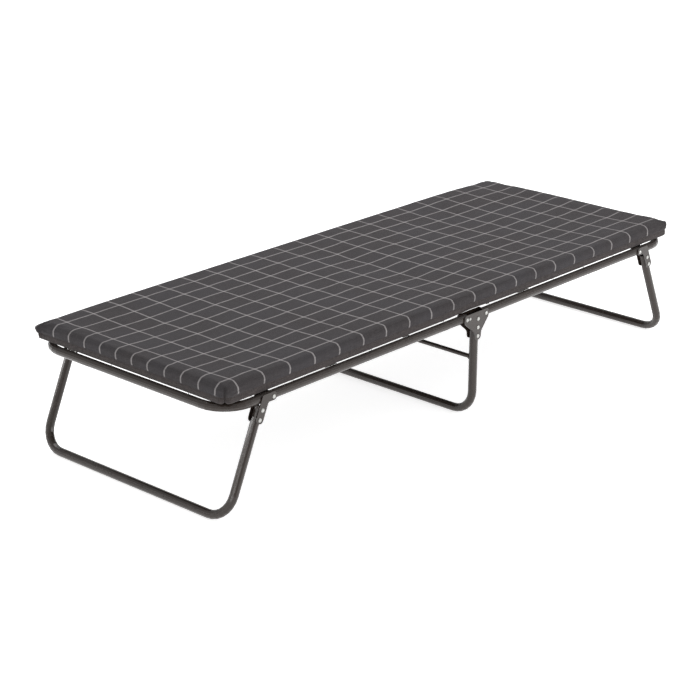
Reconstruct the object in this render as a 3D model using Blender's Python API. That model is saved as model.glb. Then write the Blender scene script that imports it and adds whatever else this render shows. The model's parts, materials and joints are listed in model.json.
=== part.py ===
"""Folding camp cot: two U-shaped frame halves hinged on a middle leg, two folding end legs, a sprung fabric deck
and a foam pad.

Axes: +X runs along the cot from the front end to the rear end, +Y to its left side, +Z up. The origin is on the
floor, under the middle of the frame. Every length is in metres.
"""

import math
from functools import partial

import bmesh
import bpy
from mathutils import Matrix, Vector

# ---- driving dimensions -------------------------------------------------------------------------------------

GAP = 0.0003  # clearance between neighbouring pieces

FRAME_LENGTH = 1.740
FRAME_WIDTH = 0.656
FRAME_Z = 0.276  # height of the frame tubes' centreline
FRAME_CORNER = 0.075  # bend radius of the frame's corners, on the centreline
TUBE_RADIUS = 0.011
TUBE_WALL = 0.0012

FRONT_HINGE_X = -0.029  # where the front half turns on the middle bracket
REAR_HINGE_X = 0.046
MIDDLE_LEG_X = 0.0145
HINGE_OVERRUN = 0.0075  # how far a frame tube runs past its hinge rivet
END_HINGE_X = 0.717  # end leg hinges, either side of the middle

LEG_SPLAY = math.radians(23.5)  # end legs lean outward by this much from vertical
LEG_OFFSET = 0.0245  # from an end leg's hinge to its centreline
LEG_CORNER = 0.060
LEG_TOP = 0.0282  # where an end leg starts, measured down its line from the hinge's level
MIDDLE_LEG_TOP_Z = 0.279
BRACE_Z = 0.162
BRACE_RADIUS = 0.0058

PLATE_THICKNESS = 0.002
OUTER_PLATE_TOP_Z = FRAME_Z + 0.0118
INNER_PLATE_TOP_Z = FRAME_Z + 0.0098  # lower, to clear the spring hooks
PLATE_TOP_RADIUS = 0.009
PLATE_FOOT_RADIUS = 0.0095
END_PLATE_NOSE = 0.0096  # from the hinge to the arm's end, toward the middle of the cot
END_PLATE_NOSE_RADIUS = 0.008
END_PLATE_ARM_DROP = 0.0088  # from the hinge's level down to the arm's underside
END_PLATE_HALF_WIDTH = 0.0118  # of the strip down the leg
END_PLATE_SHOULDER_RADIUS = 0.005
END_PLATE_ELBOW_RADIUS = 0.006
MIDDLE_PLATE_LOBE = 0.0112  # from a hinge to the plate's end beyond it
MIDDLE_PLATE_TAPER = 0.002
MIDDLE_PLATE_SHOULDER_DROP = 0.0095  # from the hinges' level down to where the plate starts to narrow
MIDDLE_PLATE_SHOULDER_RADIUS = 0.007
MIDDLE_PLATE_WAIST_Z = 0.2330
MIDDLE_PLATE_WAIST_RADIUS = 0.016
MIDDLE_PLATE_HALF_STRIP = 0.0122  # half the width of the strip down the leg
MIDDLE_PLATE_FOOT_DROP = 0.0098  # from the lowest rivet down to the plate's foot
RIVET_RADIUS = 0.003
RIVET_HOLE_RADIUS = 0.0034
RIVET_HEAD_RADIUS = 0.0053
RIVET_HEAD_HEIGHT = 0.0024
RIVET_DOME = ((0.0, 1.0), (0.6, 0.8), (1.0, 0.25), (1.0, 0.0))  # a head's outline, in shares of its radius and height
STUD_HEAD_RADIUS = 0.0042
END_LEG_RIVETS = (0.0360, 0.0592)  # down an end leg's line from the hinge's level
MIDDLE_LEG_RIVETS_Z = (0.2685, 0.2455, 0.2225)
STUD_X = -0.0185  # small stud set in each outer middle plate beside the front hinge

DECK_HALF_WIDTH = 0.247
DECK_END_X = 0.790
DECK_Z = 0.2875  # middle of the deck fabric, and the line of the springs
DECK_THICKNESS = 0.0024
EDGE_ROD_RADIUS = 0.002
SPRING_RADIUS = 0.0044
SPRING_BODY = (0.0125, 0.0490)  # where the coil starts and ends, measured out from the edge rod
HOOK_RADIUS = 0.0011
HOOK_INSET = 0.0065  # from the frame tube's centreline in to the hook's hole
HOOK_HOLE_RADIUS = 0.0018
HOOK_DEPTH = 0.0068
SPRING_PITCH = 0.134
FRONT_SPRING_X = -0.768  # first spring of the front half's sides
REAR_SPRING_X = 0.081  # first spring of the rear half's sides
SIDE_SPRINGS = 6
END_SPRINGS = 4
END_SPRING_PITCH = 0.130

PAD_X = (-0.862, 0.857)
PAD_HALF_WIDTH = 0.320
PAD_Z = (0.2928, 0.3400)
PAD_EDGE = 0.016  # radius of the pad's long edges and ends

TUBE_SIDES = 14
BEND_STEPS = 7
CORNER_STEPS = 3
HOLE_SIDES = 8
RIVET_SIDES = 10
WIRE_SIDES = 4
CUTTER_REACH = 0.02

# ---- derived places -----------------------------------------------------------------------------------------

SIDE_Y = FRAME_WIDTH / 2 - TUBE_RADIUS  # centreline of the side tubes and of the legs' uprights
END_X = FRAME_LENGTH / 2 - TUBE_RADIUS  # centreline of the end tubes
PLATE_Y = TUBE_RADIUS + GAP + PLATE_THICKNESS / 2  # from a side tube's centreline to a plate's middle
ROD_Y = DECK_HALF_WIDTH + GAP + EDGE_ROD_RADIUS
ROD_X = DECK_END_X + GAP + EDGE_ROD_RADIUS
HOOK_REACH_Y = SIDE_Y - HOOK_INSET - ROD_Y
HOOK_REACH_X = END_X - HOOK_INSET - ROD_X

SIDES = {"right": -1, "left": 1}
ENDS = {"front": -1, "rear": 1}


def clear_scene():
    for obj in list(bpy.data.objects):
        bpy.data.objects.remove(obj)


# ---- materials ----------------------------------------------------------------------------------------------


def make_material(name, colour, roughness, metallic=0.0):
    material = bpy.data.materials.new(name)
    material.use_nodes = True
    shader = material.node_tree.nodes["Principled BSDF"]
    shader.inputs["Base Color"].default_value = (*colour, 1.0)
    shader.inputs["Roughness"].default_value = roughness
    shader.inputs["Metallic"].default_value = metallic
    material.diffuse_color = (*colour, 1.0)
    return material


# ---- objects ------------------------------------------------------------------------------------------------


def add_pivot(name, location, parent=None):
    """An empty on a joint's axis, which the joint's pieces hang from."""
    pivot = bpy.data.objects.new(name, None)
    bpy.context.collection.objects.link(pivot)
    pivot.location = location
    if parent:
        pivot.parent = parent
        pivot.matrix_parent_inverse = Matrix.Translation(parent.matrix_world.translation).inverted()
    bpy.context.view_layer.update()
    return pivot


def add_object(name, data, material, pivot, place=None):
    """A named piece whose data is in its own axes, put at place and hung from its joint's pivot."""
    data.materials.append(material)
    obj = bpy.data.objects.new(name, data)
    bpy.context.collection.objects.link(obj)
    obj.parent = pivot
    obj.matrix_parent_inverse = pivot.matrix_world.inverted()
    obj.matrix_basis = place or Matrix()
    return obj


def smooth(obj, angle=math.radians(35)):
    obj.data.shade_smooth()
    obj.data.set_sharp_from_angle(angle=angle)


def cut(obj, cutter):
    """Takes the cutter's shape out of the piece."""
    modifier = obj.modifiers.new("cut", "BOOLEAN")
    modifier.operation = "DIFFERENCE"
    modifier.object = cutter


def add_helper(name, mesh):
    """A shape that only a Boolean uses, which is no piece of the cot."""
    helper = bpy.data.objects.new(name, mesh)
    bpy.context.collection.objects.link(helper)
    helper.hide_render = True
    helper.display_type = "WIRE"
    return helper


def rods_mesh(name, rods, sides):
    """Closed round rods in one mesh, each from its own start to its own end."""
    bm = bmesh.new()
    for start, end, radius in rods:
        along = Vector(end) - Vector(start)
        middle = (Vector(start) + Vector(end)) / 2
        half_side = Matrix.Rotation(math.pi / sides, 4, "Z")
        turn = along.to_track_quat("Z", "Y").to_matrix().to_4x4() @ half_side
        bmesh.ops.create_cone(
            bm,
            cap_ends=True,
            segments=sides,
            radius1=radius,
            radius2=radius,
            depth=along.length,
            matrix=Matrix.Translation(middle) @ turn,
        )
    mesh = bpy.data.meshes.new(name)
    bm.to_mesh(mesh)
    bm.free()
    return mesh


# ---- outlines -----------------------------------------------------------------------------------------------


def rounded(corners, steps, closed=True):
    """Points along a run of corners, each given as (x, y, radius), with an arc at each corner that has a radius."""
    points = []
    count = len(corners)
    for index, (x, y, radius) in enumerate(corners):
        corner = Vector((x, y))
        is_end = not closed and index in (0, count - 1)
        if is_end or radius == 0:
            points.append(corner)
            continue
        back = (Vector(corners[index - 1][:2]) - corner).normalized()
        ahead = (Vector(corners[(index + 1) % count][:2]) - corner).normalized()
        half = back.angle(ahead) / 2
        centre = corner + (back + ahead).normalized() * radius / math.sin(half)
        start = corner + back * radius / math.tan(half) - centre
        end = corner + ahead * radius / math.tan(half) - centre
        sweep = start.angle_signed(end)
        for step in range(steps + 1):
            spoke = start.copy()
            spoke.rotate(Matrix.Rotation(-sweep * step / steps, 2))
            points.append(centre + spoke)
    return points


def circle(x, y, radius, sides=HOLE_SIDES):
    turns = [2 * math.pi * (side + 0.5) / sides for side in range(sides)]
    return [Vector((x + radius * math.cos(turn), y + radius * math.sin(turn))) for turn in turns]


# ---- tubes --------------------------------------------------------------------------------------------------


def tube_mesh(name, points, radius):
    """The outer skin of a bent tube, open at both ends."""
    curve = bpy.data.curves.new(name, "CURVE")
    curve.dimensions = "3D"
    curve.bevel_depth = radius
    curve.bevel_resolution = TUBE_SIDES // 2 - 2
    spline = curve.splines.new("POLY")
    spline.points.add(len(points) - 1)
    for spline_point, point in zip(spline.points, points):
        spline_point.co = (*point, 1.0)
    guide = bpy.data.objects.new(name, curve)
    bpy.context.collection.objects.link(guide)
    graph = bpy.context.evaluated_depsgraph_get()
    mesh = bpy.data.meshes.new_from_object(guide.evaluated_get(graph))
    bpy.data.objects.remove(guide)
    bpy.data.curves.remove(curve)
    mesh.name = name
    return mesh


def add_tube(name, points, material, pivot, holes):
    """A bent tube with a real wall and open ends, drilled by the rods in holes."""
    mesh = tube_mesh(name, points, TUBE_RADIUS)
    tube = add_object(name, mesh, material, pivot)
    wall = tube.modifiers.new("wall", "SOLIDIFY")
    wall.thickness = TUBE_WALL
    wall.offset = -1.0
    wall.use_even_offset = True
    cut(tube, add_helper("drill_" + name, rods_mesh("drill_" + name, holes, HOLE_SIDES)))
    smooth(tube)
    return tube


def across(x, z, side):
    """A drill through both walls of the side tube or upright at x, z."""
    return (
        (x, side * SIDE_Y - CUTTER_REACH, z),
        (x, side * SIDE_Y + CUTTER_REACH, z),
        RIVET_HOLE_RADIUS,
    )


def spring_spots(end):
    """Where a half's springs meet the edge rods: (row, point on the rod, direction to the frame tube, reach)."""
    first = FRONT_SPRING_X if end < 0 else REAR_SPRING_X
    for name, side in SIDES.items():
        for index in range(SIDE_SPRINGS):
            x = first + index * SPRING_PITCH
            yield name, Vector((x, side * ROD_Y, DECK_Z)), Vector((0, side, 0)), HOOK_REACH_Y
    for index in range(END_SPRINGS):
        y = (index - (END_SPRINGS - 1) / 2) * END_SPRING_PITCH
        yield "end", Vector((end * ROD_X, y, DECK_Z)), Vector((end, 0, 0)), HOOK_REACH_X


def hook_holes(end):
    """Drills through the top wall of a frame half for its spring hooks."""
    for _, foot, outward, reach in spring_spots(end):
        top = foot + outward * reach
        yield top + Vector((0, 0, TUBE_RADIUS)), top - Vector((0, 0, TUBE_RADIUS)), HOOK_HOLE_RADIUS


def add_frame_half(end_name, material, pivot):
    end = ENDS[end_name]
    hinge_x = FRONT_HINGE_X if end < 0 else REAR_HINGE_X
    start_x = hinge_x - end * HINGE_OVERRUN
    outline = [
        (start_x, -SIDE_Y, 0),
        (end * END_X, -SIDE_Y, FRAME_CORNER),
        (end * END_X, SIDE_Y, FRAME_CORNER),
        (start_x, SIDE_Y, 0),
    ]
    points = [(x, y, FRAME_Z) for x, y in rounded(outline, BEND_STEPS, closed=False)]
    holes = list(hook_holes(end))
    for side in SIDES.values():
        holes.append(across(hinge_x, FRAME_Z, side))
        holes.append(across(end * END_HINGE_X, FRAME_Z, side))
    return add_tube(end_name + "_frame", points, material, pivot, holes)


# ---- legs ---------------------------------------------------------------------------------------------------


def end_leg_point(end, offset, along):
    """x and z of a point beside an end leg: offset outward from its hinge, and along its line downward."""
    outward = Vector((math.cos(LEG_SPLAY) * end, math.sin(LEG_SPLAY)))
    downward = Vector((math.sin(LEG_SPLAY) * end, -math.cos(LEG_SPLAY)))
    return Vector((end * END_HINGE_X, FRAME_Z)) + outward * offset + downward * along


def end_leg_length():
    """How far down its line an end leg's foot bar lies, so that the bar rests on the floor."""
    level = FRAME_Z + LEG_OFFSET * math.sin(LEG_SPLAY)
    return (level - TUBE_RADIUS) / math.cos(LEG_SPLAY)


def u_leg_points(top, bottom):
    """A U in (across, along) from one upright's top to the other's, bent at the foot bar."""
    outline = [
        (-SIDE_Y, top, 0),
        (-SIDE_Y, bottom, LEG_CORNER),
        (SIDE_Y, bottom, LEG_CORNER),
        (SIDE_Y, top, 0),
    ]
    return rounded(outline, BEND_STEPS, closed=False)


def add_end_leg(end_name, material, pivot):
    end = ENDS[end_name]
    points = []
    for y, along in u_leg_points(LEG_TOP, end_leg_length()):
        x, z = end_leg_point(end, LEG_OFFSET, along)
        points.append((x, y, z))
    holes = []
    for side in SIDES.values():
        for along in END_LEG_RIVETS:
            x, z = end_leg_point(end, LEG_OFFSET, along)
            holes.append(across(x, z, side))
    return add_tube(end_name + "_leg", points, material, pivot, holes)


def add_middle_leg(material, pivot):
    outline = u_leg_points(MIDDLE_LEG_TOP_Z, TUBE_RADIUS)
    points = [(MIDDLE_LEG_X, y, z) for y, z in outline]
    holes = [across(MIDDLE_LEG_X, z, side) for side in SIDES.values() for z in MIDDLE_LEG_RIVETS_Z]
    return add_tube("middle_leg", points, material, pivot, holes)


def add_brace(material, pivot):
    """The thin rod welded between the middle leg's uprights."""
    reach = SIDE_Y - TUBE_RADIUS - GAP
    rod = ((MIDDLE_LEG_X, -reach, BRACE_Z), (MIDDLE_LEG_X, reach, BRACE_Z), BRACE_RADIUS)
    brace = add_object("middle_leg_brace", rods_mesh("middle_leg_brace", [rod], TUBE_SIDES), material, pivot)
    smooth(brace)


# ---- hinge plates and rivets --------------------------------------------------------------------------------


def add_plate(name, outline, holes, y, material, pivot):
    """A flat plate cut to an outline in x and z, with round holes, standing at y."""
    curve = bpy.data.curves.new(name, "CURVE")
    curve.dimensions = "2D"
    curve.fill_mode = "BOTH"
    curve.extrude = PLATE_THICKNESS / 2
    for loop in [outline, *(circle(x, z, RIVET_HOLE_RADIUS) for x, z in holes)]:
        spline = curve.splines.new("POLY")
        spline.use_cyclic_u = True
        spline.points.add(len(loop) - 1)
        for spline_point, (x, z) in zip(spline.points, loop):
            spline_point.co = (x, z, 0.0, 1.0)
    place = Matrix.Translation((0, y, 0)) @ Matrix.Rotation(math.radians(90), 4, "X")
    return add_object(name, curve, material, pivot, place)


def end_plate_outline(end, top_z):
    """The L that carries an end leg: an arm along the frame tube to the hinge, and a strip down the leg."""
    arm_under = FRAME_Z - END_PLATE_ARM_DROP
    nose_x = END_HINGE_X - END_PLATE_NOSE
    inner = LEG_OFFSET - END_PLATE_HALF_WIDTH
    outer = LEG_OFFSET + END_PLATE_HALF_WIDTH
    foot = END_LEG_RIVETS[1] + PLATE_FOOT_RADIUS
    level = FRAME_Z + inner * math.sin(LEG_SPLAY)
    elbow = end_leg_point(end, inner, (level - arm_under) / math.cos(LEG_SPLAY))
    shoulder_level = FRAME_Z + outer * math.sin(LEG_SPLAY)
    shoulder = end_leg_point(end, outer, (shoulder_level - top_z) / math.cos(LEG_SPLAY))
    corners = [
        (end * nose_x, top_z, PLATE_TOP_RADIUS),
        (*shoulder, END_PLATE_SHOULDER_RADIUS),
        (*end_leg_point(end, outer, foot), PLATE_FOOT_RADIUS),
        (*end_leg_point(end, inner, foot), PLATE_FOOT_RADIUS),
        (*elbow, END_PLATE_ELBOW_RADIUS),
        (end * nose_x, arm_under, END_PLATE_NOSE_RADIUS),
    ]
    return rounded(corners, CORNER_STEPS)


def middle_plate_outline(top_z):
    """The tapering plate over the middle leg: wide at the two hinges, narrow on the upright."""
    front_x = FRONT_HINGE_X - MIDDLE_PLATE_LOBE
    rear_x = REAR_HINGE_X + MIDDLE_PLATE_LOBE
    strip_front_x = MIDDLE_LEG_X - MIDDLE_PLATE_HALF_STRIP
    strip_rear_x = MIDDLE_LEG_X + MIDDLE_PLATE_HALF_STRIP
    shoulder_z = FRAME_Z - MIDDLE_PLATE_SHOULDER_DROP
    foot_z = MIDDLE_LEG_RIVETS_Z[-1] - MIDDLE_PLATE_FOOT_DROP
    corners = [
        (front_x, top_z, PLATE_TOP_RADIUS),
        (front_x + MIDDLE_PLATE_TAPER, shoulder_z, MIDDLE_PLATE_SHOULDER_RADIUS),
        (strip_front_x, MIDDLE_PLATE_WAIST_Z, MIDDLE_PLATE_WAIST_RADIUS),
        (strip_front_x, foot_z, PLATE_FOOT_RADIUS),
        (strip_rear_x, foot_z, PLATE_FOOT_RADIUS),
        (strip_rear_x, MIDDLE_PLATE_WAIST_Z, MIDDLE_PLATE_WAIST_RADIUS),
        (rear_x - MIDDLE_PLATE_TAPER, shoulder_z, MIDDLE_PLATE_SHOULDER_RADIUS),
        (rear_x, top_z, PLATE_TOP_RADIUS),
    ]
    return rounded(corners, CORNER_STEPS)


def rivet_head(radius, base):
    """The outline of a low domed head and the root of its shank, in (radius, height)."""
    dome = [(radius * out, base + RIVET_HEAD_HEIGHT * up) for out, up in RIVET_DOME]
    return [*dome, (RIVET_RADIUS, base)]


def rivet_profile(half_length):
    head = rivet_head(RIVET_HEAD_RADIUS, half_length)
    return head + [(radius, -height) for radius, height in reversed(head)]


def stud_profile():
    shank_end = -PLATE_THICKNESS / 2
    return rivet_head(STUD_HEAD_RADIUS, PLATE_THICKNESS / 2 + GAP) + [(RIVET_RADIUS, shank_end), (0.0, shank_end)]


def turned_mesh(name, profile):
    """A profile of (radius, height) turned round the Y axis, with the profile's start toward -Y."""
    bm = bmesh.new()
    verts = [bm.verts.new((radius, 0.0, height)) for radius, height in profile]
    edges = [bm.edges.new(pair) for pair in zip(verts, verts[1:])]
    bmesh.ops.spin(
        bm,
        geom=verts + edges,
        cent=(0, 0, 0),
        axis=(0, 0, 1),
        angle=2 * math.pi,
        steps=RIVET_SIDES,
        use_merge=True,
    )
    bmesh.ops.remove_doubles(bm, verts=bm.verts, dist=1e-6)
    bmesh.ops.recalc_face_normals(bm, faces=bm.faces)
    bmesh.ops.rotate(bm, verts=bm.verts, matrix=Matrix.Rotation(math.radians(90), 3, "X"))
    mesh = bpy.data.meshes.new(name)
    bm.to_mesh(mesh)
    bm.free()
    return mesh


def add_rivet(name, mesh, x, z, side, material, pivot):
    rivet = add_object(name, mesh.copy(), material, pivot, Matrix.Translation((x, side * SIDE_Y, z)))
    smooth(rivet)


def add_plate_pair(name, outline_under, holes, side, material, pivot, outer_holes=()):
    """The two plates that straddle a side tube. outline_under gives a plate's outline for the height of its top."""
    inner_y = side * (SIDE_Y - PLATE_Y)
    outer_y = side * (SIDE_Y + PLATE_Y)
    inner = outline_under(INNER_PLATE_TOP_Z)
    outer = outline_under(OUTER_PLATE_TOP_Z)
    add_plate(name + "_inner_plate", inner, holes, inner_y, material, pivot)
    add_plate(name + "_outer_plate", outer, [*holes, *outer_holes], outer_y, material, pivot)


def add_end_bracket(end_name, side_name, rivet, paint, zinc, pivot):
    end = ENDS[end_name]
    side = SIDES[side_name]
    name = f"{end_name}_{side_name}"
    hinge = (end * END_HINGE_X, FRAME_Z)
    leg_spots = [tuple(end_leg_point(end, LEG_OFFSET, along)) for along in END_LEG_RIVETS]
    add_plate_pair(name, partial(end_plate_outline, end), [hinge, *leg_spots], side, paint, pivot)
    add_rivet(name + "_leg_hinge_rivet", rivet, *hinge, side, zinc, pivot)
    for level, spot in zip(("upper", "lower"), leg_spots):
        add_rivet(f"{name}_leg_{level}_rivet", rivet, *spot, side, zinc, pivot)


def add_middle_bracket(side_name, rivet, stud, paint, zinc, pivot):
    side = SIDES[side_name]
    name = "middle_" + side_name
    hinges = {"front": (FRONT_HINGE_X, FRAME_Z), "rear": (REAR_HINGE_X, FRAME_Z)}
    leg_spots = [(MIDDLE_LEG_X, z) for z in MIDDLE_LEG_RIVETS_Z]
    holes = [*hinges.values(), *leg_spots]
    add_plate_pair(name, middle_plate_outline, holes, side, paint, pivot, [(STUD_X, FRAME_Z)])
    for half, spot in hinges.items():
        add_rivet(f"{name}_{half}_hinge_rivet", rivet, *spot, side, zinc, pivot)
    for level, spot in zip(("upper", "centre", "lower"), leg_spots):
        add_rivet(f"{name}_leg_{level}_rivet", rivet, *spot, side, zinc, pivot)
    facing = Matrix.Rotation(math.radians(180), 4, "Z") if side > 0 else Matrix()
    place = Matrix.Translation((STUD_X, side * (SIDE_Y + PLATE_Y), FRAME_Z)) @ facing
    smooth(add_object(name + "_stud", stud.copy(), zinc, pivot, place))


# ---- deck and springs ---------------------------------------------------------------------------------------


def box_mesh(name, low, high, rounded_ends=None, edge=0.0, steps=3):
    """A box from corner to corner. Its edges are rounded, except those around an end that isn't in rounded_ends."""
    bm = bmesh.new()
    bmesh.ops.create_cube(bm, size=1.0)
    middle = (Vector(low) + Vector(high)) / 2
    size = Vector(high) - Vector(low)
    bmesh.ops.scale(bm, vec=size, verts=bm.verts)
    bmesh.ops.translate(bm, vec=middle, verts=bm.verts)
    if edge:
        flat_x = [x for x, name_of_end in ((low[0], "low"), (high[0], "high")) if name_of_end not in rounded_ends]
        kept = [e for e in bm.edges if not any(all(abs(v.co.x - x) < GAP / 2 for v in e.verts) for x in flat_x)]
        bmesh.ops.bevel(bm, geom=kept, offset=edge, segments=steps, profile=0.5, affect="EDGES")
    mesh = bpy.data.meshes.new(name)
    bm.to_mesh(mesh)
    bm.free()
    return mesh


def add_deck(name, low_x, high_x, material, pivot):
    half = DECK_THICKNESS / 2
    low = (low_x, -DECK_HALF_WIDTH, DECK_Z - half)
    high = (high_x, DECK_HALF_WIDTH, DECK_Z + half)
    add_object(name, box_mesh(name, low, high), material, pivot)


def spring_mesh(name, springs):
    """Each spring's coil outline, its two hook stems and the hook's tip in the tube, as overlapping rods."""
    rods = []
    for foot, outward, reach in springs:
        top = foot + outward * reach
        rods.append((foot, top + outward * HOOK_RADIUS, HOOK_RADIUS))
        rods.append((foot + outward * SPRING_BODY[0], foot + outward * SPRING_BODY[1], SPRING_RADIUS))
        rods.append((top, top - Vector((0, 0, HOOK_DEPTH)), HOOK_RADIUS))
    return rods_mesh(name, rods, WIRE_SIDES)


def add_spring_row(name, rod_start, rod_end, springs, material, pivot):
    """The rod along one edge of the deck, with its springs hooked on, as one solid."""
    rod = rods_mesh(name, [(rod_start, rod_end, EDGE_ROD_RADIUS)], WIRE_SIDES)
    row = add_object(name, rod, material, pivot)
    joined = row.modifiers.new("join", "BOOLEAN")
    joined.operation = "UNION"
    joined.object = add_helper("coils_" + name, spring_mesh("coils_" + name, springs))
    joined.use_self = True
    smooth(row)


def add_spring_rows(end_name, material, pivot):
    end = ENDS[end_name]
    rows = {}
    for row, foot, outward, reach in spring_spots(end):
        rows.setdefault(row, []).append((foot, outward, reach))
    overhang = SPRING_RADIUS * 2
    for row, springs in rows.items():
        start = springs[0][0]
        finish = springs[-1][0]
        run = (finish - start).normalized() * overhang
        add_spring_row(f"{end_name}_{row}_springs", start - run, finish + run, springs, material, pivot)


# ---- pad ----------------------------------------------------------------------------------------------------


def add_pad(name, low_x, high_x, rounded_ends, material, pivot):
    low = (low_x, -PAD_HALF_WIDTH, PAD_Z[0])
    high = (high_x, PAD_HALF_WIDTH, PAD_Z[1])
    pad = add_object(name, box_mesh(name, low, high, rounded_ends, PAD_EDGE), material, pivot)
    smooth(pad)


def main():
    clear_scene()
    paint = make_material("bronze_paint", (0.055, 0.045, 0.040), 0.42, 0.35)
    zinc = make_material("zinc", (0.72, 0.72, 0.70), 0.32, 1.0)
    spring_steel = make_material("spring_steel", (0.50, 0.50, 0.49), 0.38, 1.0)
    deck_cloth = make_material("deck_cloth", (0.035, 0.033, 0.033), 0.92)
    pad_cover = make_material("pad_cover", (0.070, 0.066, 0.068), 0.90)

    front_half = add_pivot("front_half_pivot", (0, 0, 0))
    front_leg = add_pivot("front_leg_pivot", (-END_HINGE_X, 0, FRAME_Z), front_half)
    middle = add_pivot("middle_leg_pivot", (FRONT_HINGE_X, 0, FRAME_Z), front_half)
    rear_half = add_pivot("rear_half_pivot", (REAR_HINGE_X, 0, FRAME_Z), middle)
    rear_leg = add_pivot("rear_leg_pivot", (END_HINGE_X, 0, FRAME_Z), rear_half)

    halves = {"front": front_half, "rear": rear_half}
    end_legs = {"front": front_leg, "rear": rear_leg}
    for end_name in ENDS:
        add_frame_half(end_name, paint, halves[end_name])
        add_end_leg(end_name, paint, end_legs[end_name])
        add_spring_rows(end_name, spring_steel, halves[end_name])
    add_middle_leg(paint, middle)
    add_brace(paint, middle)

    through = PLATE_Y + PLATE_THICKNESS / 2 + GAP
    rivet = turned_mesh("rivet", rivet_profile(through))
    stud = turned_mesh("stud", stud_profile())
    for side_name in SIDES:
        for end_name in ENDS:
            add_end_bracket(end_name, side_name, rivet, paint, zinc, end_legs[end_name])
        add_middle_bracket(side_name, rivet, stud, paint, zinc, middle)

    front_x = FRONT_HINGE_X - GAP
    rear_x = REAR_HINGE_X + GAP
    add_deck("front_deck", -DECK_END_X, front_x, deck_cloth, front_half)
    add_deck("middle_deck", FRONT_HINGE_X, REAR_HINGE_X, deck_cloth, middle)
    add_deck("rear_deck", rear_x, DECK_END_X, deck_cloth, rear_half)
    add_pad("front_pad", PAD_X[0], front_x, ("low",), pad_cover, front_half)
    add_pad("middle_pad", FRONT_HINGE_X, REAR_HINGE_X, (), pad_cover, middle)
    add_pad("rear_pad", rear_x, PAD_X[1], ("high",), pad_cover, rear_half)


main()
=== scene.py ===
"""The looks of a folding cot, round a fixed frame: cover, deck cloth, coil springs, painted tube and rivets.

Metres, +Z up. +X runs from the cot's front end to its rear end, and +Y to its left side.
"""

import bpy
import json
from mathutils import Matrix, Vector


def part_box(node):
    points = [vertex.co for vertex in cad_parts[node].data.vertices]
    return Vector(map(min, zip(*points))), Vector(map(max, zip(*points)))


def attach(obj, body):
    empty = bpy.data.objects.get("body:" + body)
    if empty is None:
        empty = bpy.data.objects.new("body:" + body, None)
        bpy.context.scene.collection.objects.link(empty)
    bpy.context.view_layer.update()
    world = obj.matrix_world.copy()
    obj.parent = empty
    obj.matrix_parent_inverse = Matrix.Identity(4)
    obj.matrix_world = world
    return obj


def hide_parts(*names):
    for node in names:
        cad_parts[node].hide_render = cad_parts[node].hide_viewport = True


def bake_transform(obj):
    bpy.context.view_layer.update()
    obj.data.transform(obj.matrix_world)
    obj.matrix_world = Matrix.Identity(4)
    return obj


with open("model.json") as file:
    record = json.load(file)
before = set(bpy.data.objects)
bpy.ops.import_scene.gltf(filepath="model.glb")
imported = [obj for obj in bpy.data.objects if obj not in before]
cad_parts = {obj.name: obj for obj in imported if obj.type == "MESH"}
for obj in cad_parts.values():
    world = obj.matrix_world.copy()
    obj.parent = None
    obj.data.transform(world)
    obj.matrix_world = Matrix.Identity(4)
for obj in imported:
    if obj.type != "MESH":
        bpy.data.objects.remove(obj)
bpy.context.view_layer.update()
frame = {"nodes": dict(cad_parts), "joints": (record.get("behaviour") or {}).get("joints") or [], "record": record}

import json
import math

import bmesh
import bpy
import numpy as np
from mathutils import Matrix, Vector, noise

# ---- places, all from the frame -----------------------------------------------------------------

HINGES = {joint["name"]: Vector(joint["pos_m"]) for joint in frame["joints"]}
FRONT_HINGE = HINGES["middle_fold"]
REAR_HINGE = HINGES["rear_half_fold"]
SPLIT_X = (FRONT_HINGE.x + REAR_HINGE.x) / 2  # where the front and rear pieces of the pad and the deck meet

PAD_LOW = Vector(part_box("front_pad")[0])
PAD_HIGH = Vector(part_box("rear_pad")[1])
DECK_LOW = Vector(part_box("front_deck")[0])
DECK_HIGH = Vector(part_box("rear_deck")[1])
DECK_Z = (DECK_LOW.z + DECK_HIGH.z) / 2
FRAME_HIGH = Vector(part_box("rear_frame")[1])
TUBE_RADIUS = (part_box("middle_leg")[1][0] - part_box("middle_leg")[0][0]) / 2
SIDE_Y = FRAME_HIGH.y - TUBE_RADIUS
END_X = FRAME_HIGH.x - TUBE_RADIUS

# ---- camera -------------------------------------------------------------------------------------

CAMERA_AT = Vector((-3.795, -3.341, 2.017))
CAMERA_TARGET = Vector((-0.0975, 0.0, 0.1306))
CAMERA_ROLL = math.radians(0.31)
LENS_MM = 106.05


def add_camera():
    data = bpy.data.cameras.new("camera")
    data.lens = LENS_MM
    data.sensor_width = 36.0
    data.dof.use_dof = False
    camera = bpy.data.objects.new("camera", data)
    bpy.context.collection.objects.link(camera)
    aim = (CAMERA_TARGET - CAMERA_AT).to_track_quat("-Z", "Y").to_matrix().to_4x4()
    camera.matrix_world = Matrix.Translation(CAMERA_AT) @ aim @ Matrix.Rotation(CAMERA_ROLL, 4, "Z")
    bpy.context.scene.camera = camera


# ---- node helpers -------------------------------------------------------------------------------


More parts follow.
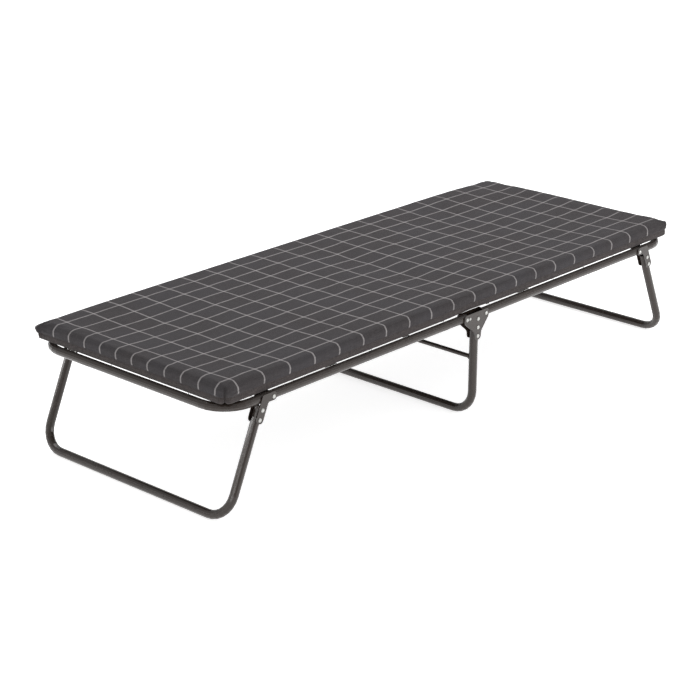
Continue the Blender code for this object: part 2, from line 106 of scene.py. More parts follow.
class Material:
    """A Principled material, with short ways to add nodes. An input is a value or another node's output."""

    def __init__(self, name, **values):
        self.data = bpy.data.materials.new(name)
        self.data.use_nodes = True
        self.tree = self.data.node_tree
        self.shader = self.tree.nodes["Principled BSDF"]
        for socket, value in values.items():
            self.feed(self.shader, socket.replace("_", " "), value)

    def feed(self, node, socket, value):
        if isinstance(value, bpy.types.NodeSocket):
            self.tree.links.new(value, node.inputs[socket])
        else:
            node.inputs[socket].default_value = value

    def node(self, kind, output=0, settings=(), **inputs):
        node = self.tree.nodes.new("ShaderNode" + kind)
        for key, value in dict(settings).items():
            setattr(node, key, value)
        for socket, value in inputs.items():
            self.feed(node, socket.replace("_", " "), value)
        return node.outputs[output]

    def place(self):
        """Each point's place in the piece's own coordinates."""
        return self.node("TexCoord", output="Object")

    def cloth(self):
        """Each point's place on the flat cloth."""
        return self.node("Attribute", output="Vector", settings={"attribute_name": "cloth"})

    def parts(self, vector):
        """A vector's x, y and z."""
        node = self.tree.nodes.new("ShaderNodeSeparateXYZ")
        self.feed(node, 0, vector)
        return list(node.outputs)

    def operate(self, kind, operation, *values):
        node = self.tree.nodes.new("ShaderNode" + kind)
        node.operation = operation
        for index, value in enumerate(values):
            self.feed(node, index, value)
        return node.outputs[0]

    def math(self, operation, first, second):
        return self.operate("Math", operation, first, second)

    def remap(self, value, low, high, to_low=0.0, to_high=1.0):
        """Smoothly from to_low at low to to_high at high."""
        return self.node(
            "MapRange",
            settings={"interpolation_type": "SMOOTHSTEP"},
            Value=value,
            From_Min=low,
            From_Max=high,
            To_Min=to_low,
            To_Max=to_high,
        )

    def mix(self, factor, first, second):
        """From the first colour to the second. A Mix node has one set of sockets for each type of data."""
        node = self.tree.nodes.new("ShaderNodeMix")
        node.data_type = "RGBA"
        self.feed(node, 0, factor)
        self.feed(node, 6, first)
        self.feed(node, 7, second)
        return node.outputs[2]

    def noise(self, vector, scale, detail=2.0, roughness=0.5):
        return self.node("TexNoise", Vector=vector, Scale=scale, Detail=detail, Roughness=roughness)

    def stretched(self, vector, scale):
        node = self.tree.nodes.new("ShaderNodeMapping")
        self.feed(node, "Vector", vector)
        self.feed(node, "Scale", scale)
        return node.outputs[0]

    def bump(self, height, strength, distance, normal=None):
        node = self.tree.nodes.new("ShaderNodeBump")
        self.feed(node, "Height", height)
        self.feed(node, "Strength", strength)
        self.feed(node, "Distance", distance)
        if normal:
            self.feed(node, "Normal", normal)
        return node.outputs[0]

    def use(self, **sockets):
        for socket, value in sockets.items():
            self.feed(self.shader, socket.replace("_", " "), value)
        return self.data


def rgb(red, green, blue):
    """A colour from its 0 to 255 sRGB values, in the linear numbers that a shader takes."""
    shares = (channel / 255 for channel in (red, green, blue))
    linear = (((s + 0.055) / 1.055) ** 2.4 if s > 0.04045 else s / 12.92 for s in shares)
    return (*linear, 1.0)


# ---- materials ----------------------------------------------------------------------------------

SCUFF_HEIGHT = 0.010  # paint is rubbed up to this height, where a foot bar meets the floor


def bronze_paint():
    """Satin dark bronze powder coat: orange peel, cloudy gloss, pale flecks and rubbed patches at the floor."""
    m = Material("bronze_powder_coat", Coat_Weight=0.45, Coat_Roughness=0.12, Specular_IOR_Level=0.35)
    place = m.place()
    cloud = m.noise(place, 9.0, 4.0)
    fleck = m.noise(place, 900.0, 1.0)
    colour = m.mix(cloud, rgb(34, 26, 22), rgb(50, 40, 34))
    colour = m.mix(m.remap(fleck, 0.62, 0.74, 0.0, 0.35), colour, rgb(96, 86, 79))
    near_floor = m.remap(m.parts(place)[2], SCUFF_HEIGHT, 0.0)
    rubbed = m.math("MULTIPLY", near_floor, m.remap(m.noise(place, 60.0, 3.0), 0.45, 0.65))
    colour = m.mix(m.math("MULTIPLY", rubbed, 0.6), colour, rgb(128, 124, 120))
    gloss = m.remap(m.noise(place, 35.0, 3.0), 0.3, 0.7, 0.24, 0.30)
    peel = m.bump(m.noise(place, 520.0, 2.0), 0.06, 0.0005)
    return m.use(Base_Color=colour, Metallic=0.12, Roughness=gloss, Normal=peel)


def zinc_plate():
    """Bright zinc: pale, slightly mottled and finely brushed."""
    m = Material("bright_zinc", Metallic=1.0)
    place = m.place()
    mottle = m.noise(place, 260.0, 3.0)
    colour = m.mix(mottle, rgb(160, 160, 157), rgb(200, 200, 197))
    gloss = m.remap(m.noise(place, 700.0, 2.0), 0.3, 0.7, 0.20, 0.36)
    scratches = m.noise(m.stretched(place, (1.0, 1.0, 9.0)), 1400.0, 1.0)
    return m.use(Base_Color=colour, Roughness=gloss, Normal=m.bump(scratches, 0.10, 0.0003))


def spring_wire_with_painted_shade():
    """Drawn spring wire, darker and greyer than the rivets: the dark tone is partly painted shade, for the springs
    and rods in the pad's shadow.
    """
    m = Material("spring_wire_with_painted_shade", Metallic=1.0)
    place = m.place()
    # painted shade: both wire colours are kept dark to stand in for the shadow that the pad casts on the springs
    # and rods
    colour = m.mix(m.noise(place, 180.0, 2.0), rgb(56, 53, 50), rgb(104, 100, 96))
    gloss = m.remap(m.noise(place, 500.0, 2.0), 0.3, 0.7, 0.28, 0.46)
    drawn = m.noise(m.stretched(place, (6.0, 6.0, 6.0)), 300.0, 1.0)
    return m.use(Base_Color=colour, Roughness=gloss, Normal=m.bump(drawn, 0.08, 0.0002))


THREAD_PITCH = 0.0013
PANEL_THREAD_PITCH = THREAD_PITCH * 1.5
DECK_THREAD_PITCH = THREAD_PITCH * 2.2


def weave_height(m, across, along, pitch):
    """The height of a plain weave: threads over and under each other, pitch apart in both directions."""
    turn = 2 * math.pi / pitch
    over = m.operate("Math", "SINE", m.math("MULTIPLY", across, turn))
    under = m.operate("Math", "SINE", m.math("MULTIPLY", along, turn))
    return m.math("MULTIPLY", over, under)


def streaks(m, cloth, fine, coarse):
    """Uneven yarn: two noises drawn out along the two thread directions, averaged."""
    lengthwise = m.noise(m.stretched(cloth, (coarse, fine, 1.0)), 1.0, 2.0)
    crosswise = m.noise(m.stretched(cloth, (fine, coarse, 1.0)), 1.0, 2.0)
    return m.math("MULTIPLY", m.math("ADD", lengthwise, crosswise), 0.5)


CHECK_X = (-0.8186, 0.08353, -0.86, 0.845)
CHECK_Y = (-0.0131, 0.0552, -0.32, 0.33)
"""Crosswise and lengthwise lines of the check: one line, their spacing, and where they begin and end."""
CHECK_WIDTH = 0.0043
CHECK_SOFTNESS = 0.0008
CHECK_SWAY = (0.006, 0.006, 0.0)  # the width of the band that a line wanders in, by direction


def check_line(m, place, first, pitch, begin, end):
    """1 on one direction's lines of the check and 0 between them."""
    off_line = m.math("PINGPONG", m.math("SUBTRACT", place, first), pitch / 2)
    half = CHECK_WIDTH / 2
    on_line = m.remap(off_line, half + CHECK_SOFTNESS, half - CHECK_SOFTNESS)
    inside = m.math("MULTIPLY", m.math("GREATER_THAN", place, begin), m.math("LESS_THAN", place, end))
    return m.math("MULTIPLY", on_line, inside)


def checked_cover():
    """Charcoal cover cloth with a woven window-pane check in light grey, heathered, matte and faintly fuzzy."""
    m = Material("checked_cover", Sheen_Weight=0.14, Sheen_Roughness=0.55, Specular_IOR_Level=0.22)
    m.use(Sheen_Tint=rgb(176, 172, 176))
    cloth = m.cloth()
    drift = m.node("TexNoise", output="Color", Vector=cloth, Scale=14.0, Detail=1.0)
    centred = m.operate("VectorMath", "SUBTRACT", drift, (0.5, 0.5, 0.5))
    swayed = m.operate("VectorMath", "MULTIPLY_ADD", centred, CHECK_SWAY, cloth)
    along, across, height = m.parts(swayed)

    crosswise = check_line(m, along, *CHECK_X)
    lengthwise = check_line(m, across, *CHECK_Y)
    either = m.math("MAXIMUM", crosswise, lengthwise)
    both = m.math("MULTIPLY", crosswise, lengthwise)
    above_seam = m.remap(height, SEAM_Z + 0.0005, SEAM_Z + 0.0025)
    line = m.math("MULTIPLY", either, above_seam)

    yarn = streaks(m, cloth, 1100.0, 90.0)
    patch = m.noise(cloth, 7.0, 2.0)
    ground = m.mix(m.remap(yarn, 0.35, 0.65), rgb(45, 42, 43), rgb(67, 63, 64))
    ground = m.mix(m.remap(patch, 0.35, 0.65, 0.0, 0.35), ground, rgb(62, 61, 65))
    light = m.mix(m.remap(yarn, 0.35, 0.65), rgb(120, 116, 116), rgb(160, 156, 156))
    light = m.mix(both, light, rgb(176, 172, 172))
    colour = m.mix(m.math("MULTIPLY", line, 0.92), ground, light)

    threads = m.bump(weave_height(m, along, across, THREAD_PITCH), 0.30, 0.0004)
    raised = m.bump(m.math("ADD", line, yarn), 0.25, 0.0005, threads)
    return m.use(Base_Color=colour, Roughness=m.remap(yarn, 0.3, 0.7, 0.82, 0.94), Normal=raised)


def underside_panel():
    """Plain brown-black cloth, a little coarser than the cover."""
    m = Material("underside_panel", Sheen_Weight=0.12, Sheen_Roughness=0.6, Specular_IOR_Level=0.2)
    cloth = m.cloth()
    yarn = streaks(m, cloth, 800.0, 70.0)
    colour = m.mix(m.remap(yarn, 0.35, 0.65), rgb(46, 41, 41), rgb(70, 63, 62))
    along, across, _ = m.parts(cloth)
    weave = weave_height(m, along, across, PANEL_THREAD_PITCH)
    return m.use(Base_Color=colour, Roughness=0.92, Normal=m.bump(weave, 0.35, 0.0005))


def deck_cloth():
    """Tightly woven black deck cloth with a visible coarse weave and slightly shiny yarn."""
    m = Material("deck_cloth_woven", Sheen_Weight=0.15, Specular_IOR_Level=0.35)
    cloth = m.cloth()
    yarn = streaks(m, cloth, 600.0, 60.0)
    colour = m.mix(m.remap(yarn, 0.35, 0.65), rgb(36, 35, 36), rgb(60, 58, 58))
    along, across, _ = m.parts(cloth)
    weave = weave_height(m, along, across, DECK_THREAD_PITCH)
    gloss = m.remap(yarn, 0.3, 0.7, 0.62, 0.82)
    return m.use(Base_Color=colour, Roughness=gloss, Normal=m.bump(weave, 0.5, 0.0008))


def sewing_thread():
    """Twisted dark polyester thread."""
    m = Material("sewing_thread", Sheen_Weight=0.2, Roughness=0.55)
    place = m.place()
    twist = m.noise(place, 2500.0, 1.0)
    colour = m.mix(twist, rgb(70, 68, 68), rgb(112, 110, 108))
    return m.use(Base_Color=colour, Normal=m.bump(twist, 0.3, 0.0002))


# ---- pieces -------------------------------------------------------------------------------------


def add_piece(name, mesh, material):
    mesh.materials.append(material)
    piece = bpy.data.objects.new(name, mesh)
    bpy.context.collection.objects.link(piece)
    return piece


def mesh_from(name, points, faces):
    mesh = bpy.data.meshes.new(name)
    mesh.from_pydata([tuple(point) for point in points], [], faces)
    mesh.validate()
    mesh.update()
    return mesh


def store_cloth(mesh, values):
    """Keeps each point's place on the flat cloth, so that the pattern stays on the cloth when it bends."""
    attribute = mesh.attributes.get("cloth") or mesh.attributes.new("cloth", "FLOAT_VECTOR", "POINT")
    attribute.data.foreach_set("vector", np.asarray(values, np.float32).ravel())


def points_of(mesh):
    points = np.empty(len(mesh.vertices) * 3, np.float32)
    mesh.vertices.foreach_get("co", points)
    return points.reshape(-1, 3).astype(float)


def set_points(mesh, points):
    mesh.vertices.foreach_set("co", points.astype(np.float32).ravel())
    mesh.update()


# ---- pad ----------------------------------------------------------------------------------------

RIM_Z = 0.3375  # the cover's top at the pad's rim
LIP_Z = 0.2893  # the pad's underside over the frame tube, where its edge rolls over
LIP_WIDTH = 0.015
LIP_GAP_AT_FOLD = 0.075  # the lip fades out about this near to the fold, where the brackets are
SEAM_Z = 0.3070  # of the seam between the cover and the underside panel
SEAM_WIDTH = 0.0022
SEAM_DEPTH = 0.0020
SIDE_BULGE = 0.0016  # how far the cover swells between the seam and the top
BULGE_SKEW = 0.8  # under 1 puts the fullest point below the middle
SIDE_WAIST = 0.0020  # how far the long sides pull in, halfway between their corners
END_WAIST_SHARE = 0.3  # of SIDE_WAIST, all along the ends
REST_ON_DECK = (0.080, 0.130)  # where, in from the rim, the underside starts down to the deck and reaches it
DECK_CLEARANCE = 0.0014  # between the middle of the deck cloth and the underside
TINY = 1e-6

SAG = 0.0063  # how far the pad and the deck hang between the tubes
SAG_WIDTH = 0.245  # from a long side in to the full sag
DECK_SAG_WIDTH = SAG_WIDTH * 0.7  # the deck starts further in, and so gets to its full sag sooner
SAG_LENGTH = 0.098  # from an end in to the full sag
WAVES = ((-0.645, 0.120, 0.0037), (0.020, 0.066, 0.0037), (0.500, 0.220, 0.0060))
"""Crosswise dips of the deck: place along the cot, half length, and depth. The middle one is the fold."""
DROOPS = ((0.857, 0.320, 0.150, 0.0085), (-0.862, 0.320, 0.120, 0.0030), (-0.862, -0.320, 0.090, 0.0020))
"""Corners where the foam sinks: x, y, radius, and depth."""

PAD_GRID = 0.010
PAD_EDGE_GRID = 0.0030
PAD_EDGE_ZONE = 0.036
PAD_FOLD_GRID = 0.0055
PAD_FOLD_ZONE = 0.110
PAD_TOP_RADIUS = 0.0150
PAD_BOTTOM_RADIUS = 0.0045
PAD_START = 0.0018  # the cover starts this much inside its finished size, and the air pressure fills it out
PAD_PRESSURE = 4.0
PAD_CAP = 0.0021  # the furthest that a point of the cover moves under pressure
PAD_FRAMES = 20
COVER_SLACK = -0.010  # below 0 the cloth grows by this share before it is tight
COVER, PANEL = 0, 1  # the pad's material slots
CORNER_RISE = 1.4  # over 1 keeps a corner seam's lower lean further up
FOLD_HELD = 0.3  # the simulation leaves a corner's fold alone where it is stronger than this
CORNERS = {
    (-1, -1): (0.027, 0.0026, (0.0060, 0.0060), (0.0050, 0.0050)),
    (-1, 1): (0.012, 0.0070, (-0.0270, -0.0085), (-0.0040, -0.0005)),
    (1, -1): (0.009, 0.0060, (0.0045, -0.0030), (0.0030, -0.0010)),
    (1, 1): (0.013, 0.0060, (0.0010, 0.0010), (-0.0020, -0.0020)),
}
"""By the signs of x and y: a corner's radius, its seam's width, and how far the seam moves in x and y at the
top and at the bottom. The front right one goes in, as a dart, and the front left one goes out, as an ear."""


def steps(low, high, spacing):
    count = max(1, round((high - low) / spacing))
    return list(np.linspace(low, high, count + 1)[:-1])


def pad_stations():
    """x, y and z values of the pad's grid: close together at the edges and over the fold."""
    low, high = PAD_LOW, PAD_HIGH
    fold = (SPLIT_X - PAD_FOLD_ZONE, SPLIT_X + PAD_FOLD_ZONE)
    along = (
        steps(low.x, low.x + PAD_EDGE_ZONE, PAD_EDGE_GRID)
        + steps(low.x + PAD_EDGE_ZONE, fold[0], PAD_GRID)
        + steps(fold[0], SPLIT_X, PAD_FOLD_GRID)
        + steps(SPLIT_X, fold[1], PAD_FOLD_GRID)
        + steps(fold[1], high.x - PAD_EDGE_ZONE, PAD_GRID)
        + steps(high.x - PAD_EDGE_ZONE, high.x, PAD_EDGE_GRID)
        + [high.x]
    )
    across = (
        steps(low.y, low.y + PAD_EDGE_ZONE, PAD_EDGE_GRID)
        + steps(low.y + PAD_EDGE_ZONE, high.y - PAD_EDGE_ZONE, PAD_GRID)
        + steps(high.y - PAD_EDGE_ZONE, high.y, PAD_EDGE_GRID)
        + [high.y]
    )
    up = steps(LIP_Z, SEAM_Z, PAD_EDGE_GRID) + steps(SEAM_Z, RIM_Z, PAD_EDGE_GRID) + [RIM_Z]
    return along, across, up


def box_grid(along, across, up):
    """A box's surface as a grid: its points and its quads, which face out."""
    index = {}
    points = []
    faces = []

    def corner(i, j, k):
        if (i, j, k) not in index:
            index[i, j, k] = len(points)
            points.append((along[i], across[j], up[k]))
        return index[i, j, k]

    def add(cells, flip):
        quad = [corner(*cell) for cell in cells]
        faces.append(quad[::-1] if flip else quad)

    last = (len(along) - 1, len(across) - 1, len(up) - 1)
    for i in range(last[0]):
        for j in range(last[1]):
            for k in (0, last[2]):
                add(((i, j, k), (i + 1, j, k), (i + 1, j + 1, k), (i, j + 1, k)), k == 0)
        for k in range(last[2]):
            for j in (0, last[1]):
                add(((i, j, k), (i + 1, j, k), (i + 1, j, k + 1), (i, j, k + 1)), j > 0)
    for j in range(last[1]):
        for k in range(last[2]):
            for i in (0, last[0]):
                add(((i, j, k), (i, j, k + 1), (i, j + 1, k + 1), (i, j + 1, k)), i > 0)
    return np.array(points), faces


def cloth_places(points):
    """Where each point of the box lies on the cover's cloth: the sides carry on from the top's edges."""
    down = RIM_Z - points[:, 2]
    places = points.copy()
    for axis in (0, 1):
        places[:, axis] += np.where(points[:, axis] >= PAD_HIGH[axis] - TINY, down, 0.0)
        places[:, axis] -= np.where(points[:, axis] <= PAD_LOW[axis] + TINY, down, 0.0)
    return places


def ramp(distance, width):
    """0 at no distance, rising ever more gently to 1 at width."""
    return 1 - (1 - np.clip(distance / width, 0, 1)) ** 2


def dips(x):
    """How far the pad and the deck hang at x, midway between the long sides."""
    depth = SAG + 0 * x
    for place, half_length, deep in WAVES:
        depth = depth + deep * np.exp(-(((x - place) / half_length) ** 2))
    return depth


def sunk(x, y):
    """How deep the sunk corners are at x, y."""
    depth = 0 * x
    for corner_x, corner_y, radius, deep in DROOPS:
        depth = depth + deep * np.exp(-((x - corner_x) ** 2 + (y - corner_y) ** 2) / radius**2)
    return depth


def rim_distance(x, y):
    """How far a point is inside the pad's ends, and inside its long sides."""
    return np.minimum(x - PAD_LOW.x, PAD_HIGH.x - x), np.minimum(y - PAD_LOW.y, PAD_HIGH.y - y)


def top_level(x, y):
    """The pad's finished top, with its sag, its dips and its sunk corners."""
    from_end, from_side = rim_distance(x, y)
    return RIM_Z - dips(x) * ramp(from_side, SAG_WIDTH) * ramp(from_end, SAG_LENGTH) - sunk(x, y)


def deck_level(x, y):
    """The middle of the deck cloth, which hangs from the rods round its edge."""
    from_end = np.clip(DECK_HIGH.x - np.abs(x), 0, None)
    from_side = np.clip(DECK_HIGH.y - np.abs(y), 0, None)
    return DECK_Z - dips(x) * ramp(from_side, DECK_SAG_WIDTH) * ramp(from_end, SAG_LENGTH)


def bottom_level(x, y):
    """The pad's underside: rolled down at the rim, clear of the springs, and then lying on the deck."""
    inside = np.minimum(*rim_distance(x, y))
    hinged = np.exp(-(((x - SPLIT_X) / LIP_GAP_AT_FOLD) ** 2))
    lip = (PAD_LOW.z - LIP_Z) * (1 - hinged) * (1 - ramp(inside - LIP_WIDTH / 2, LIP_WIDTH / 2))
    on_deck = np.clip((inside - REST_ON_DECK[0]) / (REST_ON_DECK[1] - REST_ON_DECK[0]), 0, 1)
    on_deck = on_deck * on_deck * (3 - 2 * on_deck)
    return (PAD_LOW.z - lip) * (1 - on_deck) + (deck_level(x, y) + DECK_CLEARANCE) * on_deck


def rounded_pair(u, v):
    """Bends the square corner that u and v reach, each from 0 to a radius, to a round one."""
    both = (u > 0) & (v > 0)
    far = np.maximum(u, v)
    length = np.hypot(u, v)
    shrink = np.where(both, far / np.maximum(length, TINY), 1.0)
    return np.where(both, u * shrink, u), np.where(both, v * shrink, v)


def shape_corner(offset, half, level, end, side):
    """Rounds one upright corner and folds its seam, and returns how strong the fold is at each point."""
    radius, width, top, bottom = CORNERS[end, side]
    here = (offset[:, 0] * end > 0) & (offset[:, 1] * side > 0)
    u = offset[:, 0] * end - half[0] + radius
    v = offset[:, 1] * side - half[1] + radius
    new_u, new_v = rounded_pair(u, v)
    both = here & (u > 0) & (v > 0)
    off_seam = (np.arctan2(v, u) - math.pi / 4) * radius
    reach = np.clip(np.hypot(new_u, new_v) / radius, 0, 1) ** 4
    fold = np.where(both, np.exp(-((off_seam / width) ** 2)) * reach, 0.0)
    rise = level**CORNER_RISE
    for axis, change in ((0, (new_u - u) * end), (1, (new_v - v) * side)):
        offset[:, axis] += np.where(here, change, 0.0)
        offset[:, axis] += fold * (bottom[axis] * (1 - rise) + top[axis] * rise)
    return fold


def pad_shape(points):
    """The pad's surface from its box's: rounded edges and corners, sides drawn in at the seam, and its sag."""
    middle = np.array((PAD_LOW + PAD_HIGH) / 2)
    middle[2] = (LIP_Z + RIM_Z) / 2
    half = np.array((PAD_HIGH - PAD_LOW) / 2)
    half[2] = (RIM_Z - LIP_Z) / 2
    start = half - np.array((PAD_START, PAD_START, 0.0))
    offset = (points - middle) * (start / half)
    level = (points[:, 2] - LIP_Z) / (RIM_Z - LIP_Z)

    out = np.maximum(np.abs(offset[:, 0]) - start[0], np.abs(offset[:, 1]) - start[1])
    along_end = np.abs(offset[:, 0]) - start[0] > np.abs(offset[:, 1]) - start[1]
    radius = np.where(offset[:, 2] > 0, PAD_TOP_RADIUS, PAD_BOTTOM_RADIUS)
    u = out + radius
    v = np.abs(offset[:, 2]) - half[2] + radius
    new_u, new_v = rounded_pair(u, v)
    drawn_in = u - new_u
    offset[:, 2] -= np.sign(offset[:, 2]) * (v - new_v)

    above_seam = (points[:, 2] - SEAM_Z) / (RIM_Z - SEAM_Z)
    bulge = SIDE_BULGE * np.sin(math.pi * np.clip(above_seam, 0, 1) ** BULGE_SKEW)
    groove = SEAM_DEPTH * np.exp(-(((points[:, 2] - SEAM_Z) / SEAM_WIDTH) ** 2))
    waist = SIDE_WAIST * np.where(along_end, END_WAIST_SHARE, 1 - (offset[:, 0] / start[0]) ** 2)
    push = np.where(out > -TINY, bulge - groove - waist, 0.0) - drawn_in
    for axis, mine in ((0, along_end), (1, ~along_end)):
        offset[:, axis] += np.sign(offset[:, axis]) * np.where(mine, push, 0.0)

    folds = sum(shape_corner(offset, start, level, end, side) for end, side in CORNERS)
    shaped = middle + offset
    share = np.clip((shaped[:, 2] - LIP_Z) / (RIM_Z - LIP_Z), 0, 1)
    low = bottom_level(shaped[:, 0], shaped[:, 1])
    high = top_level(shaped[:, 0], shaped[:, 1]) - PAD_START
    shaped[:, 2] = low + share * (high - low)
    return shaped, folds


UNEVEN = ((6.0, 8.0, 0.3, 0.0011), (19.0, 24.0, 4.1, 0.0006))
"""Two noises over the top: scale along, scale across, where the noise is cut, and height."""
UNEVEN_FADE = 0.03  # from the rim in to the full unevenness
PUCKERS = (34.0, 14.0, 0.0010)
LONG_PUCKERS = (9.0, 4.0, 0.0014)
"""Noises in the sides: scale along the side, scale up it, and depth."""
END_CUT, SIDE_CUT, LONG_CUT = 7.0, 1.0, 3.0  # where each side noise is cut, so that ends and sides differ


def ruffled(points, places):
    """The foam's slow unevenness over the top, and puckers in the sides that run up from the seam."""
    from_end, from_side = rim_distance(places[:, 0], places[:, 1])
    edge = np.minimum(from_end, from_side)
    moved = points.copy()
    for i, (x, y, z) in enumerate(places):
        if z >= RIM_Z - TINY:
            fade = min(1.0, max(0.0, edge[i] / UNEVEN_FADE))
            lift = 0.0
            for along, across, cut, height in UNEVEN:
                lift += height * noise.noise(Vector((x * along, y * across, cut)))
            moved[i, 2] += fade * lift
        elif z > SEAM_Z:
            on_end = from_end[i] <= from_side[i]
            run, out, axis, cut = (y, x, 0, END_CUT) if on_end else (x, y, 1, SIDE_CUT)
            push = 0.0
            for (along, up, depth), at in ((PUCKERS, cut), (LONG_PUCKERS, LONG_CUT)):
                push += depth * noise.noise(Vector((run * along, z * up, at)))
            moved[i, axis] += math.copysign(push, out)
    return moved


def puff(piece, held):
    """Fills a closed piece with air as cloth: some points are held, and the rest may move up to a cap."""
    rest = points_of(piece.data)
    group = piece.vertex_groups.new(name="held")
    group.add([int(i) for i in np.flatnonzero(held)], 1.0, "REPLACE")
    cloth = piece.modifiers.new("cloth", "CLOTH")
    settings = cloth.settings
    settings.quality = 4
    settings.mass = 0.25
    settings.tension_stiffness = 18.0
    settings.compression_stiffness = 18.0
    settings.shear_stiffness = 6.0
    settings.bending_stiffness = 0.4
    settings.use_pressure = True
    settings.uniform_pressure_force = PAD_PRESSURE
    settings.shrink_min = COVER_SLACK
    settings.vertex_group_mass = group.name
    settings.effector_weights.gravity = 0.0
    cloth.point_cache.frame_start = 1
    cloth.point_cache.frame_end = PAD_FRAMES
    scene = bpy.context.scene
    for frame_number in range(1, PAD_FRAMES + 1):
        scene.frame_set(frame_number)
    evaluated = piece.evaluated_get(bpy.context.evaluated_depsgraph_get())
    blown = points_of(evaluated.data)
    piece.modifiers.remove(cloth)
    piece.vertex_groups.remove(group)
    scene.frame_set(1)
    move = blown - rest
    length = np.linalg.norm(move, axis=1, keepdims=True)
    capped = PAD_CAP * np.tanh(length / PAD_CAP)
    set_points(piece.data, rest + move * capped / np.maximum(length, TINY))


def half_of(mesh, name, front):
    """One half of the pad: its side of the split, closed with a flat face there."""
    bm = bmesh.new()
    bm.from_mesh(mesh)
    gone = [f for f in bm.faces if (f.calc_center_median().x < SPLIT_X) != front]
    bmesh.ops.delete(bm, geom=gone, context="FACES")
    rim = [e for e in bm.edges if e.is_boundary]
    for face in bmesh.ops.contextual_create(bm, geom=rim)["faces"]:
        face.material_index = PANEL
        face.smooth = False
    for edge in rim:
        edge.smooth = False
    bmesh.ops.recalc_face_normals(bm, faces=bm.faces)
    half = bpy.data.meshes.new(name)
    bm.to_mesh(half)
    bm.free()
    return half


def smoothed(mesh, name):
    """The mesh after one round of subdivision."""
    holder = bpy.data.objects.new(name, mesh)
    bpy.context.collection.objects.link(holder)
    modifier = holder.modifiers.new("finer", "SUBSURF")
    modifier.levels = 1
    modifier.render_levels = 1
    graph = bpy.context.evaluated_depsgraph_get()
    finer = bpy.data.meshes.new_from_object(holder.evaluated_get(graph))
    bpy.data.objects.remove(holder)
    finer.name = name
    return finer


def add_pad(cover, panel):
    """The pad as one shape, filled out as cloth, and then cut in two halves at the split."""
    box_points, faces = box_grid(*pad_stations())
    places = cloth_places(box_points)
    points, folds = pad_shape(box_points)
    mesh = mesh_from("pad", ruffled(points, places), faces)
    store_cloth(mesh, np.column_stack([places[:, :2], box_points[:, 2]]))
    for polygon in mesh.polygons:
        below_seam = np.mean(box_points[list(polygon.vertices), 2]) < SEAM_Z
        polygon.material_index = PANEL if below_seam else COVER
    whole = bpy.data.objects.new("pad", mesh)
    bpy.context.collection.objects.link(whole)
    puff(whole, (box_points[:, 2] <= SEAM_Z + TINY) | (folds > FOLD_HELD))
    bpy.data.objects.remove(whole)
    fine = smoothed(mesh, "pad_fine")
    fine.shade_smooth()
    halves = []
    for name, front, body, hinge in (
        ("pad_front", True, "front_half", FRONT_HINGE),
        ("pad_rear", False, "rear_half", REAR_HINGE),
    ):
        piece = add_piece(name, half_of(fine, name, front), cover)
        piece.data.materials.append(panel)
        bend(piece)
        halves.append(piece)
    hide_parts("front_pad", "middle_pad")
    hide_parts("rear_pad")
    return halves


def bend(piece):
    """Bakes a soft piece's transform into its mesh."""
    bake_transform(piece)


# ---- deck, hems, rods and springs ---------------------------------------------------------------

DECK_GRID = 0.020
DECK_FOLD_GRID = 0.005
DECK_FOLD_ZONE = 0.1
DECK_INSET = 0.004  # from the outline of the deck's solid in to the cloth's edge, inside the hem
DECK_THICKNESS = 0.0011
ROD_RADIUS = 0.002
HOOK_INSET = 0.0065
SPRING_PITCH = 0.134
SPRING_START = {"front": -0.768, "rear": 0.081}
SIDE_SPRINGS = 6
END_SPRINGS = 4
END_SPRING_PITCH = 0.130
COIL_RADIUS = 0.0037
WIRE_RADIUS = 0.0007
COIL_FROM = 0.0125  # from the rod out to the first turn
COIL_TO_HOLE = 0.0035  # from the last turn out to the hole
COIL_TAPER = (0.82, 0.55, 0.0015)  # where the last turns begin, how much they narrow, and how far they drop
COIL_TURNS = 16
COIL_STEPS = 9
LOOP_FROM = -60  # degrees round the rod
LOOP_STEP = -25
LOOP_POINTS = 13
LOOP_PITCH = WIRE_RADIUS / 9  # how far each step of the loop moves along the rod
LOOP_CLEARANCE = WIRE_RADIUS * 1.3  # from the rod's surface out to the middle of the wire
TAIL = ((0.0018, 0.0004), (0.0, -0.0005), (0.0, -0.0060))
"""A spring's last points: how far short of its hole in the tube, and how far above the hole."""
HEM_GAP = 0.013  # half the bare length of rod at each spring
ROD_END = 1.6  # how far a rod runs past its last spring, in hem gaps
ROD_Y = DECK_HIGH.y + ROD_RADIUS
ROD_X = DECK_HIGH.x + ROD_RADIUS
ENDS = {"front": -1, "rear": 1}
SIDES = {"right": -1, "left": 1}
"""Ends and sides, with the sign of their direction."""


def add_deck(material):
    """The deck cloth in two pieces that meet between the hinges."""
    pieces = []
    for end_name, end in ENDS.items():
        outer = end * (DECK_HIGH.x - DECK_INSET)
        fold = SPLIT_X + end * DECK_FOLD_ZONE
        near = steps(0.0, 1.0, DECK_FOLD_GRID / abs(fold - SPLIT_X))
        far = steps(0.0, 1.0, DECK_GRID / abs(outer - fold)) + [1.0]
        along = [SPLIT_X + (fold - SPLIT_X) * t for t in near] + [fold + (outer - fold) * t for t in far]
        half_width = DECK_HIGH.y - DECK_INSET
        across = steps(-half_width, half_width, DECK_GRID) + [half_width]
        points, places = [], []
        for x in along:
            for y in across:
                points.append((x, y, float(deck_level(np.float64(x), np.float64(y)))))
                places.append((x, y, 0.0))
        width = len(across)
        faces = []
        for i in range(len(along) - 1):
            for j in range(width - 1):
                corner = i * width + j
                quad = [corner, corner + 1, corner + width + 1, corner + width]
                faces.append(quad if end < 0 else quad[::-1])
        mesh = mesh_from(f"deck_{end_name}", points, faces)
        store_cloth(mesh, places)
        mesh.shade_smooth()
        piece = add_piece(f"deck_{end_name}", mesh, material)
        thicken(piece, DECK_THICKNESS)
        bend(piece)
        pieces.append(piece)
    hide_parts("front_deck", "middle_deck")
    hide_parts("rear_deck")
    return pieces


